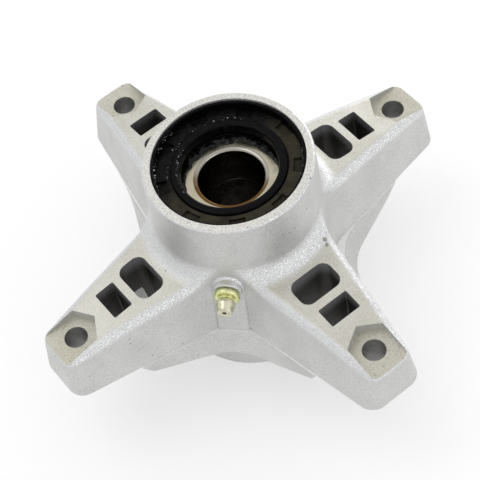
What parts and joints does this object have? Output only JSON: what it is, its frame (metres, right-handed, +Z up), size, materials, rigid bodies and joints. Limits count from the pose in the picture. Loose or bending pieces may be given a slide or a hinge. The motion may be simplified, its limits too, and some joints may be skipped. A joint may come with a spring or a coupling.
{
  "type": "mower deck spindle housing",
  "caption": "Star-shaped cast aluminium spindle housing for a mower deck, with slotted arms, nut pockets, sealed tapered roller bearings and a grease fitting.",
  "frame": {"origin": "centre of the lower hub's end face, on the spindle axis", "axes": "+Z up along the spindle axis; the grease fitting points along -Y, the arms lie between X and Y"},
  "size_m": [0.1262, 0.1262, 0.0835],
  "materials": {
    "cast_aluminium": "blasted casting",
    "seal_rubber": "oily satin",
    "bearing_steel": "ground and oiled",
    "cage_steel": "pressed, oily",
    "spacer_steel": "turned, oily",
    "spring_steel": "drawn wire",
    "ball_steel": "polished",
    "yellow_zinc": "yellow zinc plated"
  },
  "bodies": {
    "housing": {"housing": "cast_aluminium", "grease_fitting_body": "yellow_zinc", "grease_fitting_spring": "spring_steel", "upper_seal": "seal_rubber", "upper_garter_spring": "spring_steel", "upper_bearing_cup": "bearing_steel", "lower_seal": "seal_rubber", "lower_garter_spring": "spring_steel", "lower_bearing_cup": "bearing_steel"},
    "upper_cone": {"upper_bearing_cone": "bearing_steel"},
    "upper_cage": {"upper_bearing_cage": "cage_steel"},
    "upper_roller_01": {"upper_roller_01": "bearing_steel"},
    "upper_roller_02": {"upper_roller_02": "bearing_steel"},
    "upper_roller_03": {"upper_roller_03": "bearing_steel"},
    "upper_roller_04": {"upper_roller_04": "bearing_steel"},
    "upper_roller_05": {"upper_roller_05": "bearing_steel"},
    "upper_roller_06": {"upper_roller_06": "bearing_steel"},
    "upper_roller_07": {"upper_roller_07": "bearing_steel"},
    "upper_roller_08": {"upper_roller_08": "bearing_steel"},
    "upper_roller_09": {"upper_roller_09": "bearing_steel"},
    "upper_roller_10": {"upper_roller_10": "bearing_steel"},
    "upper_roller_11": {"upper_roller_11": "bearing_steel"},
    "upper_roller_12": {"upper_roller_12": "bearing_steel"},
    "upper_roller_13": {"upper_roller_13": "bearing_steel"},
    "upper_roller_14": {"upper_roller_14": "bearing_steel"},
    "upper_roller_15": {"upper_roller_15": "bearing_steel"},
    "lower_cone": {"lower_bearing_cone": "bearing_steel", "bearing_spacer": "spacer_steel"},
    "lower_cage": {"lower_bearing_cage": "cage_steel"},
    "lower_roller_01": {"lower_roller_01": "bearing_steel"},
    "lower_roller_02": {"lower_roller_02": "bearing_steel"},
    "lower_roller_03": {"lower_roller_03": "bearing_steel"},
    "lower_roller_04": {"lower_roller_04": "bearing_steel"},
    "lower_roller_05": {"lower_roller_05": "bearing_steel"},
    "lower_roller_06": {"lower_roller_06": "bearing_steel"},
    "lower_roller_07": {"lower_roller_07": "bearing_steel"},
    "lower_roller_08": {"lower_roller_08": "bearing_steel"},
    "lower_roller_09": {"lower_roller_09": "bearing_steel"},
    "lower_roller_10": {"lower_roller_10": "bearing_steel"},
    "lower_roller_11": {"lower_roller_11": "bearing_steel"},
    "lower_roller_12": {"lower_roller_12": "bearing_steel"},
    "lower_roller_13": {"lower_roller_13": "bearing_steel"},
    "lower_roller_14": {"lower_roller_14": "bearing_steel"},
    "lower_roller_15": {"lower_roller_15": "bearing_steel"},
    "check_ball": {"grease_fitting_ball": "ball_steel"}
  },
  "joints": [
    {"name": "upper_cone_spin", "type": "hinge", "parent": "housing", "child": "upper_cone", "pos_m": [0, 0, 0.0744], "axis": [0, 0, 1], "continuous": true},
    {"name": "upper_cage_spin", "type": "hinge", "parent": "housing", "child": "upper_cage", "pos_m": [0, 0, 0.06623], "axis": [0, 0, 1], "continuous": true},
    {"name": "upper_roller_01_spin", "type": "hinge", "parent": "upper_cage", "child": "upper_roller_01", "pos_m": [0.01675, 0, 0.06623], "axis": [0.1879, 0, 0.9822], "continuous": true},
    {"name": "upper_roller_02_spin", "type": "hinge", "parent": "upper_cage", "child": "upper_roller_02", "pos_m": [0.01531, -0.00681, 0.06623], "axis": [0.1716, -0.0764, 0.9822], "continuous": true},
    {"name": "upper_roller_03_spin", "type": "hinge", "parent": "upper_cage", "child": "upper_roller_03", "pos_m": [0.01121, -0.01245, 0.06623], "axis": [0.1257, -0.1396, 0.9822], "continuous": true},
    {"name": "upper_roller_04_spin", "type": "hinge", "parent": "upper_cage", "child": "upper_roller_04", "pos_m": [0.00518, -0.01593, 0.06623], "axis": [0.0581, -0.1787, 0.9822], "continuous": true},
    {"name": "upper_roller_05_spin", "type": "hinge", "parent": "upper_cage", "child": "upper_roller_05", "pos_m": [-0.00175, -0.01666, 0.06623], "axis": [-0.0196, -0.1869, 0.9822], "continuous": true},
    {"name": "upper_roller_06_spin", "type": "hinge", "parent": "upper_cage", "child": "upper_roller_06", "pos_m": [-0.00838, -0.01451, 0.06623], "axis": [-0.0939, -0.1627, 0.9822], "continuous": true},
    {"name": "upper_roller_07_spin", "type": "hinge", "parent": "upper_cage", "child": "upper_roller_07", "pos_m": [-0.01355, -0.00985, 0.06623], "axis": [-0.152, -0.1104, 0.9822], "continuous": true},
    {"name": "upper_roller_08_spin", "type": "hinge", "parent": "upper_cage", "child": "upper_roller_08", "pos_m": [-0.01639, -0.00348, 0.06623], "axis": [-0.1838, -0.0391, 0.9822], "continuous": true},
    {"name": "upper_roller_09_spin", "type": "hinge", "parent": "upper_cage", "child": "upper_roller_09", "pos_m": [-0.01639, 0.00348, 0.06623], "axis": [-0.1838, 0.0391, 0.9822], "continuous": true},
    {"name": "upper_roller_10_spin", "type": "hinge", "parent": "upper_cage", "child": "upper_roller_10", "pos_m": [-0.01355, 0.00985, 0.06623], "axis": [-0.152, 0.1104, 0.9822], "continuous": true},
    {"name": "upper_roller_11_spin", "type": "hinge", "parent": "upper_cage", "child": "upper_roller_11", "pos_m": [-0.00838, 0.01451, 0.06623], "axis": [-0.0939, 0.1627, 0.9822], "continuous": true},
    {"name": "upper_roller_12_spin", "type": "hinge", "parent": "upper_cage", "child": "upper_roller_12", "pos_m": [-0.00175, 0.01666, 0.06623], "axis": [-0.0196, 0.1869, 0.9822], "continuous": true},
    {"name": "upper_roller_13_spin", "type": "hinge", "parent": "upper_cage", "child": "upper_roller_13", "pos_m": [0.00518, 0.01593, 0.06623], "axis": [0.0581, 0.1787, 0.9822], "continuous": true},
    {"name": "upper_roller_14_spin", "type": "hinge", "parent": "upper_cage", "child": "upper_roller_14", "pos_m": [0.01121, 0.01245, 0.06623], "axis": [0.1257, 0.1396, 0.9822], "continuous": true},
    {"name": "upper_roller_15_spin", "type": "hinge", "parent": "upper_cage", "child": "upper_roller_15", "pos_m": [0.01531, 0.00681, 0.06623], "axis": [0.1716, 0.0764, 0.9822], "continuous": true},
    {"name": "lower_cone_spin", "type": "hinge", "parent": "housing", "child": "lower_cone", "pos_m": [0, 0, 0.0091], "axis": [0, 0, 1], "continuous": true},
    {"name": "lower_cage_spin", "type": "hinge", "parent": "housing", "child": "lower_cage", "pos_m": [0, 0, 0.01727], "axis": [0, 0, 1], "continuous": true},
    {"name": "lower_roller_01_spin", "type": "hinge", "parent": "lower_cage", "child": "lower_roller_01", "pos_m": [0.01675, 0, 0.01727], "axis": [-0.1879, 0, 0.9822], "continuous": true},
    {"name": "lower_roller_02_spin", "type": "hinge", "parent": "lower_cage", "child": "lower_roller_02", "pos_m": [0.01531, 0.00681, 0.01727], "axis": [-0.1716, -0.0764, 0.9822], "continuous": true},
    {"name": "lower_roller_03_spin", "type": "hinge", "parent": "lower_cage", "child": "lower_roller_03", "pos_m": [0.01121, 0.01245, 0.01727], "axis": [-0.1257, -0.1396, 0.9822], "continuous": true},
    {"name": "lower_roller_04_spin", "type": "hinge", "parent": "lower_cage", "child": "lower_roller_04", "pos_m": [0.00518, 0.01593, 0.01727], "axis": [-0.0581, -0.1787, 0.9822], "continuous": true},
    {"name": "lower_roller_05_spin", "type": "hinge", "parent": "lower_cage", "child": "lower_roller_05", "pos_m": [-0.00175, 0.01666, 0.01727], "axis": [0.0196, -0.1869, 0.9822], "continuous": true},
    {"name": "lower_roller_06_spin", "type": "hinge", "parent": "lower_cage", "child": "lower_roller_06", "pos_m": [-0.00838, 0.01451, 0.01727], "axis": [0.0939, -0.1627, 0.9822], "continuous": true},
    {"name": "lower_roller_07_spin", "type": "hinge", "parent": "lower_cage", "child": "lower_roller_07", "pos_m": [-0.01355, 0.00985, 0.01727], "axis": [0.152, -0.1104, 0.9822], "continuous": true},
    {"name": "lower_roller_08_spin", "type": "hinge", "parent": "lower_cage", "child": "lower_roller_08", "pos_m": [-0.01639, 0.00348, 0.01727], "axis": [0.1838, -0.0391, 0.9822], "continuous": true},
    {"name": "lower_roller_09_spin", "type": "hinge", "parent": "lower_cage", "child": "lower_roller_09", "pos_m": [-0.01639, -0.00348, 0.01727], "axis": [0.1838, 0.0391, 0.9822], "continuous": true},
    {"name": "lower_roller_10_spin", "type": "hinge", "parent": "lower_cage", "child": "lower_roller_10", "pos_m": [-0.01355, -0.00985, 0.01727], "axis": [0.152, 0.1104, 0.9822], "continuous": true},
    {"name": "lower_roller_11_spin", "type": "hinge", "parent": "lower_cage", "child": "lower_roller_11", "pos_m": [-0.00838, -0.01451, 0.01727], "axis": [0.0939, 0.1627, 0.9822], "continuous": true},
    {"name": "lower_roller_12_spin", "type": "hinge", "parent": "lower_cage", "child": "lower_roller_12", "pos_m": [-0.00175, -0.01666, 0.01727], "axis": [0.0196, 0.1869, 0.9822], "continuous": true},
    {"name": "lower_roller_13_spin", "type": "hinge", "parent": "lower_cage", "child": "lower_roller_13", "pos_m": [0.00518, -0.01593, 0.01727], "axis": [-0.0581, 0.1787, 0.9822], "continuous": true},
    {"name": "lower_roller_14_spin", "type": "hinge", "parent": "lower_cage", "child": "lower_roller_14", "pos_m": [0.01121, -0.01245, 0.01727], "axis": [-0.1257, 0.1396, 0.9822], "continuous": true},
    {"name": "lower_roller_15_spin", "type": "hinge", "parent": "lower_cage", "child": "lower_roller_15", "pos_m": [0.01531, -0.00681, 0.01727], "axis": [-0.1716, 0.0764, 0.9822], "continuous": true},
    {"name": "check_ball_slide", "type": "slide", "parent": "housing", "child": "check_ball", "axis": [0, 1, 0], "range_m": [0, 0.0008], "stiffness_N_per_m": 200, "springref_m": -0.001, "deforming": ["grease_fitting_spring"]}
  ],
  "couplings": [
    {"joint": "upper_cage_spin", "follows": "upper_cone_spin", "ratio": 0.42375},
    {"joint": "upper_roller_01_spin", "follows": "upper_cone_spin", "ratio": -3.1456},
    {"joint": "upper_roller_02_spin", "follows": "upper_cone_spin", "ratio": -3.1456},
    {"joint": "upper_roller_03_spin", "follows": "upper_cone_spin", "ratio": -3.1456},
    {"joint": "upper_roller_04_spin", "follows": "upper_cone_spin", "ratio": -3.1456},
    {"joint": "upper_roller_05_spin", "follows": "upper_cone_spin", "ratio": -3.1456},
    {"joint": "upper_roller_06_spin", "follows": "upper_cone_spin", "ratio": -3.1456},
    {"joint": "upper_roller_07_spin", "follows": "upper_cone_spin", "ratio": -3.1456},
    {"joint": "upper_roller_08_spin", "follows": "upper_cone_spin", "ratio": -3.1456},
    {"joint": "upper_roller_09_spin", "follows": "upper_cone_spin", "ratio": -3.1456},
    {"joint": "upper_roller_10_spin", "follows": "upper_cone_spin", "ratio": -3.1456},
    {"joint": "upper_roller_11_spin", "follows": "upper_cone_spin", "ratio": -3.1456},
    {"joint": "upper_roller_12_spin", "follows": "upper_cone_spin", "ratio": -3.1456},
    {"joint": "upper_roller_13_spin", "follows": "upper_cone_spin", "ratio": -3.1456},
    {"joint": "upper_roller_14_spin", "follows": "upper_cone_spin", "ratio": -3.1456},
    {"joint": "upper_roller_15_spin", "follows": "upper_cone_spin", "ratio": -3.1456},
    {"joint": "lower_cage_spin", "follows": "lower_cone_spin", "ratio": 0.42375},
    {"joint": "lower_roller_01_spin", "follows": "lower_cone_spin", "ratio": -3.1456},
    {"joint": "lower_roller_02_spin", "follows": "lower_cone_spin", "ratio": -3.1456},
    {"joint": "lower_roller_03_spin", "follows": "lower_cone_spin", "ratio": -3.1456},
    {"joint": "lower_roller_04_spin", "follows": "lower_cone_spin", "ratio": -3.1456},
    {"joint": "lower_roller_05_spin", "follows": "lower_cone_spin", "ratio": -3.1456},
    {"joint": "lower_roller_06_spin", "follows": "lower_cone_spin", "ratio": -3.1456},
    {"joint": "lower_roller_07_spin", "follows": "lower_cone_spin", "ratio": -3.1456},
    {"joint": "lower_roller_08_spin", "follows": "lower_cone_spin", "ratio": -3.1456},
    {"joint": "lower_roller_09_spin", "follows": "lower_cone_spin", "ratio": -3.1456},
    {"joint": "lower_roller_10_spin", "follows": "lower_cone_spin", "ratio": -3.1456},
    {"joint": "lower_roller_11_spin", "follows": "lower_cone_spin", "ratio": -3.1456},
    {"joint": "lower_roller_12_spin", "follows": "lower_cone_spin", "ratio": -3.1456},
    {"joint": "lower_roller_13_spin", "follows": "lower_cone_spin", "ratio": -3.1456},
    {"joint": "lower_roller_14_spin", "follows": "lower_cone_spin", "ratio": -3.1456},
    {"joint": "lower_roller_15_spin", "follows": "lower_cone_spin", "ratio": -3.1456}
  ]
}
